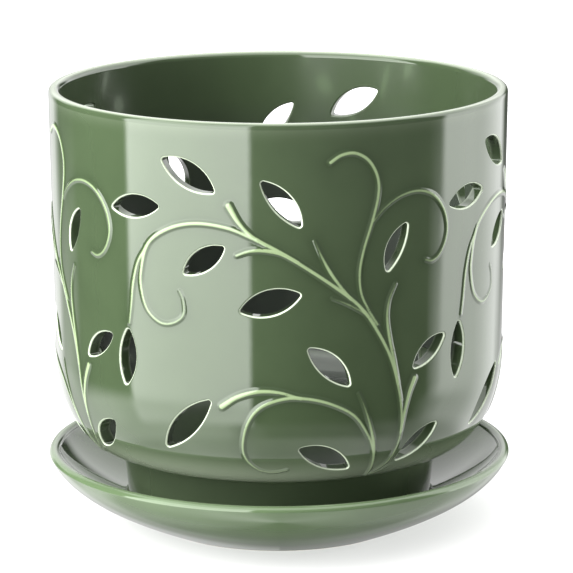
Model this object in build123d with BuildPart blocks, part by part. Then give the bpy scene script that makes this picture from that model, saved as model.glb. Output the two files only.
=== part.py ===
from build123d import *

import math
import os

# Slotted orchid pot standing in its own saucer, in millimetres, +Z up.
# The origin is on the table under the middle of the saucer. The front is towards -Y.

# Pot: driving sizes
overall_height = 160.0
rim_radius = 82.5
rim_thickness = 4.4
wall_thickness = 5.0
wall_draft = 1.2
belly_inset = 19.1
belly_height = 34.0
foot_height = 20.0
foot_setback = 4.7
foot_taper = 2.0
foot_wall = 6.5
foot_cove = 3.0
foot_edge_round = 1.0
floor_thickness = 5.5
drain_radius = 10.0
drain_edge_round = 1.0

# Saucer: driving sizes
saucer_height = 27.0
saucer_overhang = 1.9
saucer_lip_thickness = 4.0
saucer_floor_thickness = 6.0
saucer_foot_depth = 4.0
saucer_foot_width = 5.0
saucer_foot_inset = 7.7
saucer_foot_round = 1.0
seat_clearance = 2.0

# Leaf slots and raised vine: driving sizes
motif_repeats = 4
leaf_tip_round = 0.8
vine_width = 2.0
vine_height = 0.9
vine_root_depth = 1.0
vine_middle_angle = 3.0
overrun = 3.0

# Places that follow from the sizes above
seat_height = saucer_foot_depth + saucer_floor_thickness
shoulder_height = seat_height + foot_height
belly_top_height = shoulder_height + belly_height
belly_radius = rim_radius - wall_draft
shoulder_radius = belly_radius - belly_inset
foot_top_radius = shoulder_radius - foot_setback
foot_radius = foot_top_radius - foot_taper
floor_height = shoulder_height + floor_thickness
rim_round_height = overall_height - rim_thickness / 2
patterned_height = overall_height - shoulder_height
slot_cut_depth = rim_radius + overrun - shoulder_radius + wall_thickness

# Each leaf slot: the angle and the height share of its two tips, then how far each of its
# sides bows out, as a share of the leaf's length. Angles are in degrees from the front.
leaf_slot_shares = (
    (-28.9, 0.897, -15.2, 0.815, 0.22, 0.17),
    (-4.3, 0.850, 5.4, 0.725, 0.20, 0.13),
    (-23.4, 0.594, -12.9, 0.673, 0.21, 0.19),
    (-9.4, 0.501, 5.4, 0.548, 0.21, 0.19),
    (45.7, 0.749, 60.4, 0.768, 0.20, 0.17),
    (26.9, 0.592, 32.6, 0.721, 0.22, 0.11),
    (6.9, 0.402, 17.4, 0.294, 0.21, 0.15),
    (34.8, 0.321, 45.0, 0.400, 0.21, 0.15),
    (49.3, 0.267, 50.3, 0.427, 0.15, 0.19),
    (-29.8, 0.108, -16.6, 0.258, 0.16, 0.13),
    (33.4, 0.058, 43.7, 0.155, 0.21, 0.16),
    (5.1, 0.123, 18.4, 0.053, 0.22, 0.15),
)

# Each vine stem: its width at the start, middle and end as shares of the vine's width, then
# the angles and height shares that it runs through.
vine_shares = {
    "main_stem": ((0.7, 1.0, 1.0), (
        (26.6, 0.025), (30.4, 0.064), (31.8, 0.123), (31.6, 0.188), (30.4, 0.271), (28.2, 0.354),
        (25.0, 0.425), (20.0, 0.505), (13.6, 0.564), (6.4, 0.620), (0.0, 0.665), (-5.0, 0.694))),
    "great_curl": ((1.0, 1.0, 0.6), (
        (-5.0, 0.694), (-12.1, 0.724), (-20.0, 0.732), (-27.1, 0.712), (-32.9, 0.665), (-35.1, 0.585),
        (-34.9, 0.532), (-33.2, 0.484), (-29.6, 0.456), (-26.0, 0.460), (-23.4, 0.484), (-23.4, 0.522),
        (-24.3, 0.546))),
    "bud_stem": ((1.5, 1.0, 0.8), ((-11.8, 0.783), (-9.6, 0.742), (-7.0, 0.711), (-3.0, 0.680))),
    "side_stem": ((0.8, 1.1, 0.8), (
        (-10.0, 0.652), (-7.0, 0.664), (-3.5, 0.667), (0.5, 0.658), (4.5, 0.636))),
    "short_sprig": ((0.5, 1.0, 0.8), ((8.6, 0.690), (10.5, 0.642), (13.2, 0.590), (17.4, 0.531))),
    "fine_sprig": ((0.5, 0.7, 0.6), ((12.9, 0.535), (16.8, 0.516), (21.2, 0.487))),
    "upper_hook": ((1.0, 0.9, 0.8), (
        (12.3, 0.897), (15.0, 0.915), (18.4, 0.918), (21.8, 0.895), (24.0, 0.850), (24.2, 0.800),
        (22.6, 0.730), (20.6, 0.660), (19.6, 0.600), (20.0, 0.545), (21.8, 0.500), (24.3, 0.456))),
    "right_curl": ((0.6, 0.9, 0.7), (
        (23.2, 0.735), (26.1, 0.768), (30.5, 0.795), (35.5, 0.802), (40.2, 0.784), (43.6, 0.742),
        (44.9, 0.695), (44.3, 0.655), (42.4, 0.622), (40.0, 0.608), (37.9, 0.613))),
    "slot_stem": ((0.6, 1.0, 0.8), (
        (29.1, 0.559), (27.4, 0.518), (26.9, 0.472), (27.6, 0.415), (29.0, 0.350), (30.2, 0.288))),
    "low_sprig": ((1.3, 1.0, 0.8), ((35.0, 0.295), (33.4, 0.255), (32.3, 0.205), (31.9, 0.150))),
    "leaf_stalk": ((0.8, 0.9, 0.7), (
        (-33.3, 0.658), (-35.9, 0.614), (-37.5, 0.555), (-38.3, 0.490), (-39.0, 0.442))),
    "root_stem": ((0.8, 1.0, 0.5), (
        (25.6, 0.020), (25.6, 0.060), (24.6, 0.120), (22.9, 0.180), (21.2, 0.232), (19.7, 0.271))),
    "lower_curl": ((0.8, 1.0, 0.6), (
        (24.9, 0.100), (22.6, 0.152), (18.6, 0.212), (12.9, 0.248), (7.1, 0.266), (1.4, 0.268),
        (-4.3, 0.245), (-7.6, 0.200), (-9.1, 0.135), (-8.4, 0.092), (-5.4, 0.060), (-1.6, 0.051),
        (2.1, 0.059))),
    "lower_bud": ((0.8, 1.1, 1.4), (
        (5.2, 0.268), (0.0, 0.285), (-5.0, 0.287), (-10.0, 0.271), (-13.9, 0.243))),
    "slot_foot": ((0.8, 0.8, 0.5), ((26.6, 0.022), (29.4, 0.033), (31.9, 0.047))),
}


def height_at(share):
    """Height above the table of a height share of the patterned wall."""
    return shoulder_height + share * patterned_height


def wall_radius(height):
    """Outside radius of the pot's wall at a height above the table."""
    if height >= belly_top_height:
        climb = (height - belly_top_height) / (rim_round_height - belly_top_height)
        return belly_radius + climb * wall_draft
    drop = (belly_top_height - height) / belly_height
    return shoulder_radius + belly_inset * math.sqrt(max(0, 1 - drop ** 2))


def facing_plane(angle):
    """Plane outside the wall that looks at the pot from an angle, with its y axis up."""
    turn = math.radians(angle)
    outward = Vector(math.sin(turn), -math.cos(turn), 0)
    across = Vector(math.cos(turn), math.sin(turn), 0)
    return Plane(origin=outward * (rim_radius + overrun), x_dir=across, z_dir=outward)


def wall_outside(proud):
    """Draw the wall's outside line from the shoulder to the rim, standing proud by a distance."""
    EllipticalCenterArc(
        (shoulder_radius, belly_top_height), belly_inset + proud, belly_height + proud, 270, arc_size=90)
    return Line((belly_radius + proud, belly_top_height), (rim_radius + proud, rim_round_height))


# Saucer
saucer_radius = rim_radius + saucer_overhang
saucer_foot_radius = foot_radius - saucer_foot_inset
saucer_seat_radius = foot_radius + seat_clearance
saucer_lip_height = saucer_height - saucer_lip_thickness / 2
saucer_inside_radius = saucer_radius - saucer_lip_thickness
outside_reach = saucer_radius - saucer_foot_radius
inside_reach = saucer_inside_radius - saucer_seat_radius
inside_rise = saucer_lip_height - seat_height
outside_control_shares = ((0.60, 0.38), (0.88, 0.64))
inside_control_shares = ((0.37, 0.23), (0.81, 0.64))

with BuildPart() as saucer:
    with BuildSketch(Plane.XZ):
        with BuildLine():
            Polyline(
                (0, seat_height),
                (0, saucer_foot_depth),
                (saucer_foot_radius - saucer_foot_width, saucer_foot_depth),
                (saucer_foot_radius - saucer_foot_width, 0),
                (saucer_foot_radius, 0))
            outside_controls = [
                (saucer_foot_radius + across * outside_reach, up * saucer_lip_height)
                for across, up in outside_control_shares]
            Bezier((saucer_foot_radius, 0), *outside_controls, (saucer_radius, saucer_lip_height))
            ThreePointArc(
                (saucer_radius, saucer_lip_height),
                (saucer_radius - saucer_lip_thickness / 2, saucer_height),
                (saucer_inside_radius, saucer_lip_height))
            inside_controls = [
                (saucer_seat_radius + across * inside_reach, seat_height + up * inside_rise)
                for across, up in inside_control_shares]
            Bezier(
                (saucer_inside_radius, saucer_lip_height), *reversed(inside_controls),
                (saucer_seat_radius, seat_height))
            Line((saucer_seat_radius, seat_height), (0, seat_height))
        make_face()
    revolve(axis=Axis.Z)
    standing_rings = saucer.edges().filter_by(GeomType.CIRCLE).group_by(Axis.Z)[0]
    fillet(standing_rings, saucer_foot_round)
saucer.part.label = "saucer"


def width_share(widths, part_way):
    """Width share of a stem at a part of the way along it, from its start, middle and end."""
    first, middle, last = widths
    if part_way < 0.5:
        return first + (middle - first) * 2 * part_way
    return middle + (last - middle) * (2 * part_way - 1)


def vine_edges(widths, run):
    """Points along the two long sides of one stem, on the plane that faces the repeat."""
    flat = [(math.radians(angle) * belly_radius, height_at(share)) for angle, share in run]
    left, right = [], []
    for place, (across, up) in enumerate(flat):
        before, after = flat[max(place - 1, 0)], flat[min(place + 1, len(flat) - 1)]
        along = Vector(after[0] - before[0], after[1] - before[1]).normalized()
        half = vine_width / 2 * width_share(widths, place / (len(flat) - 1))
        for side, points in ((1, left), (-1, right)):
            point_across = across - side * along.Y * half
            point_up = up + side * along.X * half
            turn = point_across / belly_radius - math.radians(vine_middle_angle)
            points.append((wall_radius(point_up) * math.sin(turn), point_up))
    return left, right


# Raised vine of one repeat: its drawn outline, cut down to a thin skin on the wall
with BuildPart() as vine:
    with BuildSketch(facing_plane(vine_middle_angle)):
        for widths, run in vine_shares.values():
            left_side, right_side = vine_edges(widths, run)
            with BuildLine():
                Spline(*left_side)
                Line(left_side[-1], right_side[-1])
                Spline(*reversed(right_side))
                Line(right_side[0], left_side[0])
            make_face()
    extrude(amount=-(rim_radius + overrun))
    with BuildSketch(Plane.XZ):
        with BuildLine():
            wall_outside(vine_height)
            Line(
                (rim_radius + vine_height, rim_round_height),
                (rim_radius - vine_root_depth, rim_round_height))
            wall_outside(-vine_root_depth)
            Line(
                (shoulder_radius, shoulder_height + vine_root_depth),
                (shoulder_radius, shoulder_height - vine_height))
        make_face()
    revolve(axis=Axis.Z, mode=Mode.INTERSECT)

# Pot
with BuildPart() as orchid_pot:
    with BuildSketch(Plane.XZ):
        with BuildLine():
            Line((foot_radius, seat_height), (foot_top_radius, shoulder_height))
            Line((foot_top_radius, shoulder_height), (shoulder_radius, shoulder_height))
            wall_outside(0)
            ThreePointArc(
                (rim_radius, rim_round_height),
                (rim_radius - rim_thickness / 2, overall_height),
                (rim_radius - rim_thickness, rim_round_height))
            Line(
                (rim_radius - rim_thickness, rim_round_height),
                (belly_radius - wall_thickness, belly_top_height))
            EllipticalCenterArc(
                (shoulder_radius, belly_top_height),
                belly_inset - wall_thickness, belly_top_height - floor_height, 270, arc_size=90)
            Polyline(
                (shoulder_radius, floor_height),
                (0, floor_height),
                (0, shoulder_height),
                (foot_top_radius - foot_wall, shoulder_height),
                (foot_radius - foot_wall, seat_height),
                (foot_radius, seat_height))
        make_face()
    revolve(axis=Axis.Z)
    shoulder_rings = orchid_pot.edges().filter_by(GeomType.CIRCLE).filter_by_position(
        Axis.Z, seat_height + foot_height / 2, shoulder_height + floor_thickness / 2)
    cove_ring = shoulder_rings.sort_by(lambda ring: abs(ring.radius - foot_top_radius))[0]
    fillet(cove_ring, foot_cove)
    fillet(orchid_pot.edges().filter_by(GeomType.CIRCLE).group_by(Axis.Z)[0], foot_edge_round)
    Hole(drain_radius)
    round_edges = orchid_pot.edges().filter_by(GeomType.CIRCLE)
    drain_rings = round_edges.filter_by(lambda ring: ring.radius < drain_radius + drain_edge_round)
    fillet(drain_rings, drain_edge_round)
    for start_angle, start_share, end_angle, end_share, bow_share, other_bow_share in leaf_slot_shares:
        middle_angle = (start_angle + end_angle) / 2
        half_across = belly_radius * math.sin(math.radians(end_angle - start_angle) / 2)
        start = (-half_across, height_at(start_share))
        end = (half_across, height_at(end_share))
        leaf_length = math.dist(start, end)
        turns = [middle_angle + 360 * repeat / motif_repeats for repeat in range(motif_repeats)]
        with BuildSketch(*[facing_plane(turn) for turn in turns]) as leaf:
            with BuildLine():
                SagittaArc(start, end, bow_share * leaf_length)
                SagittaArc(end, start, other_bow_share * leaf_length)
            make_face()
            fillet(leaf.vertices(), leaf_tip_round)
    extrude(amount=-slot_cut_depth, mode=Mode.SUBTRACT)
    with PolarLocations(0, motif_repeats):
        add(vine.part)
orchid_pot.part.label = "orchid_pot"

os.makedirs("parts", exist_ok=True)
export_step(saucer.part, "parts/saucer.step")
export_step(orchid_pot.part, "parts/orchid_pot.step")
print("pot volume", round(orchid_pot.part.volume), "cubic millimetres")
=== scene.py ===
"""Glazed orchid pot with leaf slots, standing in its saucer: meshes, glaze, light and camera.

Shapes are worked out in millimetres and turned into metres where a mesh is made. Angles round
the pot are in degrees from the front, which looks towards -Y, and grow towards +X.
"""

import logging
import math
from dataclasses import dataclass, field
from enum import Enum

import bpy
import numpy as np
from mathutils import Matrix, Vector
from mathutils.geometry import delaunay_2d_cdt


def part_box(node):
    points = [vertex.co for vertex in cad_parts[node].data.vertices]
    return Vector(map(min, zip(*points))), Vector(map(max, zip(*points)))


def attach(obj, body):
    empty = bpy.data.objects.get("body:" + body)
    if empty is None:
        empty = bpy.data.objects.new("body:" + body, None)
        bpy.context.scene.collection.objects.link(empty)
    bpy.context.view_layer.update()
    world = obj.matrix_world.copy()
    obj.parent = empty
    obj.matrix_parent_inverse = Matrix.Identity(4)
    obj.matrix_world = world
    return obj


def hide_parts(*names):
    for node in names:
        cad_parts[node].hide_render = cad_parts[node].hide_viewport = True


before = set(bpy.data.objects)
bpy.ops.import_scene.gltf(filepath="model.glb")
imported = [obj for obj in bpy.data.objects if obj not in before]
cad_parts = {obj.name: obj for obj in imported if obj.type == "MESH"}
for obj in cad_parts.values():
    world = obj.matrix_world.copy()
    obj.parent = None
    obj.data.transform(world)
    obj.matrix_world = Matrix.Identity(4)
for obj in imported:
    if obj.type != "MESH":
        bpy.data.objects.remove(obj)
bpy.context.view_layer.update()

MM = 0.001
SAUCER_OVERHANG = 1.9
FAR = 1e3
TINY = 1e-9
FLAT_MERGE = 1e-7
Array = np.ndarray
Socket = bpy.types.NodeSocket
log = logging.getLogger("orchid_pot")


class Finish(Enum):
    """Which finish a stretch of surface takes, as its place among a piece's materials."""

    GLAZED = 0
    BARE = 1


def around(angle: Array, radius: Array, height: Array) -> Array:
    """Turn angle, radius and height into points.

    Args:
        angle: Angles from the front, in radians.
        radius: Distances from the pot's axis.
        height: Heights above the table.

    Returns:
        Points as rows of x, y and z.
    """
    angle, radius, height = np.broadcast_arrays(angle, radius, height)
    return np.stack((radius * np.sin(angle), -radius * np.cos(angle), height), axis=-1)


def unit(vectors: Array) -> Array:
    """Scale each row to a length of 1."""
    return vectors / np.maximum(np.linalg.norm(vectors, axis=-1, keepdims=True), TINY)


def new_object(name: str, data: bpy.types.ID) -> bpy.types.Object:
    """Make an object and put it in the scene.

    Args:
        name: Its name.
        data: Its mesh, light or camera.

    Returns:
        The object.
    """
    made = bpy.data.objects.new(name, data)
    bpy.context.scene.collection.objects.link(made)
    return made


@dataclass
class SurfaceBook:
    """Points, normals, glaze marks and triangles of one mesh, joined by point numbers.

    A glaze mark holds how high a raised line stands, which pales its crest with thinner glaze and a
    painted highlight and darkens its flanks with painted shade;
    how pale an edge or band is, from thinner glaze, painted highlights and painted light; how deeply
    the glaze pools, which on the inner wall is painted shade lower down; and whether it lies inside the
    pot, where it is duller.
    """

    points: list[Array] = field(default_factory=list)
    normals: list[Array] = field(default_factory=list)
    marks: list[Array] = field(default_factory=list)
    triangles: list[Array] = field(default_factory=list)
    finishes: list[Array] = field(default_factory=list)
    count: int = 0

    def add(self, points: Array, normals: Array, marks: Array | None = None) -> Array:
        """Write points into the book.

        Args:
            points: Points of any shape that ends in x, y and z.
            normals: The surface's outward directions there.
            marks: Glaze marks there, or None for plain glaze.

        Returns:
            The points' numbers, in the shape that the points had.
        """
        shape = points.shape[:-1]
        total = int(np.prod(shape))
        if marks is None:
            marks = np.zeros(shape + (4,))
        self.points.append(points.reshape(total, 3))
        self.normals.append(unit(normals.reshape(total, 3)))
        self.marks.append(marks.reshape(total, 4))
        numbers = self.count + np.arange(total).reshape(shape)
        self.count += total
        return numbers

    def face(self, triangles: Array, finish: Finish = Finish.GLAZED) -> None:
        """Write triangles into the book.

        Args:
            triangles: Rows of three point numbers.
            finish: The finish of these triangles.
        """
        self.triangles.append(triangles.reshape(-1, 3))
        self.finishes.append(np.full(len(self.triangles[-1]), finish.value))

    def band(self, first: Array, second: Array, finish: Finish = Finish.GLAZED) -> None:
        """Join two closed rings of as many points with triangles.

        Args:
            first: Point numbers of one ring.
            second: Point numbers of the other ring, point for point.
            finish: The finish of the band.
        """
        next_first, next_second = np.roll(first, -1), np.roll(second, -1)
        self.face(np.concatenate((
            np.stack((first, next_first, next_second), axis=1),
            np.stack((first, next_second, second), axis=1))), finish)

    def cap(self, ring: Array, centre: int) -> None:
        """Close a ring with a fan of triangles to one point."""
        self.face(np.stack((ring, np.roll(ring, -1), np.full(len(ring), centre)), axis=1))

    def revolve(
            self, turns: Array, spots: Array, leans: Array, thinned_and_painted_light: Array, bare_below: float = -1.0,
            first_ring: Array | None = None, last_ring: Array | None = None) -> None:
        """Turn a profile round the axis.

        Args:
            turns: Angles of a ring's points, in radians.
            spots: Radius and height along the profile.
            leans: Outward directions along the profile.
            thinned_and_painted_light: How pale the glaze is along the profile, from thinner glaze and
                painted light.
            bare_below: Height below which the clay is bare.
            first_ring: Point numbers to start from in place of new ones.
            last_ring: Point numbers to end on in place of new ones.
        """
        rings = []
        for place, (spot, lean, thin_and_painted_light) in enumerate(zip(spots, leans, thinned_and_painted_light)):
            if place == 0 and first_ring is not None:
                rings.append(first_ring)
            elif place == len(spots) - 1 and last_ring is not None:
                rings.append(last_ring)
            elif spot[0] == 0:
                rings.append(self.add(np.array([(0, 0, spot[1])]), np.array([(0, 0, lean[1])])))
            else:
                marks = np.zeros((len(turns), 4))
                marks[:, 1] = thin_and_painted_light
                rings.append(self.add(around(turns, *spot), around(turns, *lean), marks))
        for first, second, low, high in zip(rings, rings[1:], spots, spots[1:]):
            if len(first) == 1:
                self.cap(second, first[0])
            elif len(second) == 1:
                self.cap(first, second[0])
            else:
                bare = max(low[1], high[1]) < bare_below
                self.band(first, second, Finish.BARE if bare else Finish.GLAZED)

    def make_object(self, name: str, materials: list[bpy.types.Material]) -> bpy.types.Object:
        """Make the mesh object, with every triangle turned to face outwards.

        Args:
            name: Name of the piece.
            materials: Its materials, in the order of Finish.

        Returns:
            The linked object.
        """
        points, normals = np.concatenate(self.points), np.concatenate(self.normals)
        marks = np.concatenate(self.marks)
        triangles, finishes = np.concatenate(self.triangles), np.concatenate(self.finishes)
        corners = points[triangles]
        facing = np.cross(corners[:, 1] - corners[:, 0], corners[:, 2] - corners[:, 0])
        inward = (facing * normals[triangles].sum(axis=1)).sum(axis=1) < 0
        triangles[inward] = triangles[inward][:, ::-1]

        mesh = bpy.data.meshes.new(name)
        mesh.vertices.add(len(points))
        mesh.vertices.foreach_set("co", (points * MM).astype(np.float32).ravel())
        mesh.loops.add(triangles.size)
        mesh.loops.foreach_set("vertex_index", triangles.astype(np.int32).ravel())
        mesh.polygons.add(len(triangles))
        mesh.polygons.foreach_set("loop_start", np.arange(0, triangles.size, 3, dtype=np.int32))
        for material in materials:
            mesh.materials.append(material)
        mesh.polygons.foreach_set("material_index", finishes.astype(np.int32))
        mesh.update(calc_edges=True)
        mesh.shade_smooth()
        glaze = mesh.attributes.new("glaze", "FLOAT_COLOR", "POINT")
        glaze.data.foreach_set("color", marks.astype(np.float32).ravel())
        mesh.normals_split_custom_set_from_vertices(normals.astype(np.float32))
        return new_object(name, mesh)


@dataclass(frozen=True)
class WallLine:
    """One side of the pot's wall: a quarter ellipse, then a straight draft up to the lip."""

    base_radius: float
    base_height: float
    belly_radius: float
    belly_height: float
    lip_radius: float
    lip_height: float
    outward: int = 1
    samples: int = 1500

    def radius(self, height: Array) -> Array:
        """Find the wall's radius.

        Args:
            height: Heights above the table.

        Returns:
            The radii there.
        """
        height = np.asarray(height, dtype=float)
        drop = np.clip((self.belly_height - height) / (self.belly_height - self.base_height), 0, 1)
        bulge = (self.belly_radius - self.base_radius) * np.sqrt(1 - drop ** 2)
        climb = (height - self.belly_height) / (self.lip_height - self.belly_height)
        straight = self.belly_radius + climb * (self.lip_radius - self.belly_radius)
        return np.where(height < self.belly_height, self.base_radius + bulge, straight)

    def track(self) -> tuple[Array, Array, Array]:
        """Follow the line from the shoulder to the lip.

        Returns:
            Length along the line, radius and height at close steps.
        """
        turn = np.linspace(0, math.pi / 2, self.samples)
        radius = self.base_radius + (self.belly_radius - self.base_radius) * np.sin(turn)
        height = self.belly_height - (self.belly_height - self.base_height) * np.cos(turn)
        radius, height = np.append(radius, self.lip_radius), np.append(height, self.lip_height)
        steps = np.hypot(np.diff(radius), np.diff(height))
        return np.concatenate(([0], np.cumsum(steps))), radius, height

    def length_at(self, height: Array) -> Array:
        """Length along the line from the shoulder up to a height."""
        length, _, heights = self.track()
        return np.interp(height, heights, length)

    def place(self, angle: Array, length: Array) -> tuple[Array, Array]:
        """Find points and normals of the wall.

        Args:
            angle: Angles from the front, in radians.
            length: Lengths along the line from the shoulder.

        Returns:
            The points and their normals.
        """
        lengths, radii, heights = self.track()
        radius, height = np.interp(length, lengths, radii), np.interp(length, lengths, heights)
        wide, tall = self.belly_radius - self.base_radius, self.belly_height - self.base_height
        below = np.clip((self.belly_height - height) / tall, 0, 1)
        lean = (self.lip_radius - self.belly_radius) / (self.lip_height - self.belly_height)
        across = np.sqrt(np.maximum(1 - below ** 2, 0)) / wide
        upward = -below / tall - lean * across * (1 - below)
        normal = unit(np.stack((across * np.sin(angle), -across * np.cos(angle), upward), axis=-1))
        return around(angle, radius, height), normal * self.outward


@dataclass(frozen=True)
class LeafSlot:
    """One leaf-shaped slot: two tips, and how far each side bows as a share of its length."""

    start_angle: float
    start_share: float
    end_angle: float
    end_share: float
    bow_share: float
    other_bow_share: float

    def turned(self, angle: float) -> "LeafSlot":
        """Copy this slot to another place round the pot."""
        return LeafSlot(self.start_angle + angle, self.start_share, self.end_angle + angle,
                        self.end_share, self.bow_share, self.other_bow_share)


@dataclass(frozen=True)
class VineRun:
    """One raised stem: its width shares at start, middle and end, and the places it runs through."""

    widths: tuple[float, float, float]
    places: tuple[tuple[float, float], ...]


# Slots and stems of one repeat: degrees from the front, and shares of the way up from the
# shoulder to the rim.
LEAF_SLOT_SHARES = (
    LeafSlot(-28.9, 0.897, -15.2, 0.815, 0.22, 0.17),
    LeafSlot(-4.3, 0.850, 5.4, 0.725, 0.20, 0.13),
    LeafSlot(-23.4, 0.594, -12.9, 0.673, 0.21, 0.19),
    LeafSlot(-9.4, 0.501, 5.4, 0.548, 0.21, 0.19),
    LeafSlot(45.7, 0.749, 60.4, 0.768, 0.20, 0.17),
    LeafSlot(26.9, 0.592, 32.6, 0.721, 0.22, 0.11),
    LeafSlot(6.9, 0.402, 17.4, 0.294, 0.21, 0.15),
    LeafSlot(34.8, 0.321, 45.0, 0.400, 0.21, 0.15),
    LeafSlot(49.3, 0.267, 50.3, 0.427, 0.15, 0.19),
    LeafSlot(-29.8, 0.108, -16.6, 0.258, 0.16, 0.13),
    LeafSlot(33.4, 0.058, 43.7, 0.155, 0.21, 0.16),
    LeafSlot(5.1, 0.123, 18.4, 0.053, 0.22, 0.15),
)

VINE_SHARES = {
    "main_stem": VineRun((0.7, 1.0, 1.0), (
        (26.6, 0.025), (30.4, 0.064), (31.8, 0.123), (31.6, 0.188), (30.4, 0.271), (28.2, 0.354),
        (25.0, 0.425), (20.0, 0.505), (13.6, 0.564), (6.4, 0.620), (0.0, 0.665), (-5.0, 0.694))),
    "great_curl": VineRun((1.0, 1.0, 0.6), (
        (-5.0, 0.694), (-12.1, 0.724), (-20.0, 0.732), (-27.1, 0.712), (-32.9, 0.665),
        (-35.1, 0.585), (-34.9, 0.532), (-33.2, 0.484), (-29.6, 0.456), (-26.0, 0.460),
        (-23.4, 0.484), (-23.4, 0.522), (-24.3, 0.546))),
    "bud_stem": VineRun((1.5, 1.0, 0.8), (
        (-11.8, 0.783), (-9.6, 0.742), (-7.0, 0.711), (-3.0, 0.680))),
    "side_stem": VineRun((0.8, 1.1, 0.8), (
        (-10.0, 0.652), (-7.0, 0.664), (-3.5, 0.667), (0.5, 0.658), (4.5, 0.636))),
    "short_sprig": VineRun((0.5, 1.0, 0.8), (
        (8.6, 0.690), (10.5, 0.642), (13.2, 0.590), (17.4, 0.531))),
    "fine_sprig": VineRun((0.5, 0.7, 0.6), ((12.9, 0.535), (16.8, 0.516), (21.2, 0.487))),
    "upper_hook": VineRun((1.0, 0.9, 0.8), (
        (12.3, 0.897), (15.0, 0.915), (18.4, 0.918), (21.8, 0.895), (24.0, 0.850), (24.2, 0.800),
        (22.6, 0.730), (20.6, 0.660), (19.6, 0.600), (20.0, 0.545), (21.8, 0.500), (24.3, 0.456))),
    "right_curl": VineRun((0.6, 0.9, 0.7), (
        (23.2, 0.735), (26.1, 0.768), (30.5, 0.795), (35.5, 0.802), (40.2, 0.784), (43.6, 0.742),
        (44.9, 0.695), (44.3, 0.655), (42.4, 0.622), (40.0, 0.608), (37.9, 0.613))),
    "slot_stem": VineRun((0.6, 1.0, 0.8), (
        (29.1, 0.559), (27.4, 0.518), (26.9, 0.472), (27.6, 0.415), (29.0, 0.350), (30.2, 0.288))),
    "low_sprig": VineRun((1.3, 1.0, 0.8), (
        (35.0, 0.295), (33.4, 0.255), (32.3, 0.205), (31.9, 0.150))),
    "leaf_stalk": VineRun((0.8, 0.9, 0.7), (
        (-33.3, 0.658), (-35.9, 0.614), (-37.5, 0.555), (-38.3, 0.490), (-39.0, 0.442))),
    "root_stem": VineRun((0.8, 1.0, 0.5), (
        (25.6, 0.020), (25.6, 0.060), (24.6, 0.120), (22.9, 0.180), (21.2, 0.232), (19.7, 0.271))),
    "lower_curl": VineRun((0.8, 1.0, 0.6), (
        (24.9, 0.100), (22.6, 0.152), (18.6, 0.212), (12.9, 0.248), (7.1, 0.266), (1.4, 0.268),
        (-4.3, 0.245), (-7.6, 0.200), (-9.1, 0.135), (-8.4, 0.092), (-5.4, 0.060), (-1.6, 0.051),
        (2.1, 0.059))),
    "lower_bud": VineRun((0.8, 1.1, 1.4), (
        (5.2, 0.268), (0.0, 0.285), (-5.0, 0.287), (-10.0, 0.271), (-13.9, 0.243))),
    "slot_foot": VineRun((0.8, 0.8, 0.5), ((26.6, 0.022), (29.4, 0.033), (31.9, 0.047))),
}


@dataclass(frozen=True)
class RoundedCorner:
    """A corner of a turned profile, at a radius and height, rounded by an arc."""

    radius: float
    height: float
    rounding: float


def rounded_profile(corners: list[RoundedCorner], arc_steps: int = 8) -> tuple[Array, Array]:
    """Draw a turned profile through rounded corners. The first and last corner stay as they are.

    Args:
        corners: The corners in order, with the solid on the left.
        arc_steps: Steps of each rounding.

    Returns:
        Radius and height along the profile, and its outward normals.
    """
    spots = [np.array((corner.radius, corner.height)) for corner in corners]
    points, normals = [], []

    def put(point: Array, direction: Array) -> None:
        """Note a point and the outward normal beside its direction."""
        points.append(point)
        normals.append((direction[1], -direction[0]))

    leaving = unit(spots[1] - spots[0])
    put(spots[0], leaving)
    for before, here, after, corner in zip(spots, spots[1:], spots[2:], corners[1:]):
        arriving, leaving = unit(here - before), unit(after - here)
        bend = math.acos(float(np.clip(arriving @ leaving, -1, 1)))
        reach = corner.rounding * math.tan(bend / 2)
        side = math.copysign(1, arriving[0] * leaving[1] - arriving[1] * leaving[0])
        aside = side * np.array((-arriving[1], arriving[0]))
        middle = here - arriving * reach + corner.rounding * aside
        for step in range(arc_steps + 1):
            turn = side * bend * step / arc_steps
            cosine, sine = math.cos(turn), math.sin(turn)
            heading = np.array((
                arriving[0] * cosine - arriving[1] * sine, arriving[0] * sine + arriving[1] * cosine))
            put(middle + side * corner.rounding * np.array((heading[1], -heading[0])), heading)
    put(spots[-1], leaving)
    return np.array(points), np.array(normals)


def curve_profile(points: Array) -> tuple[Array, Array]:
    """Find the outward normals of a profile that is given by close points."""
    heading = unit(np.gradient(points, axis=0))
    return points, np.stack((heading[:, 1], -heading[:, 0]), axis=1)


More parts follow.
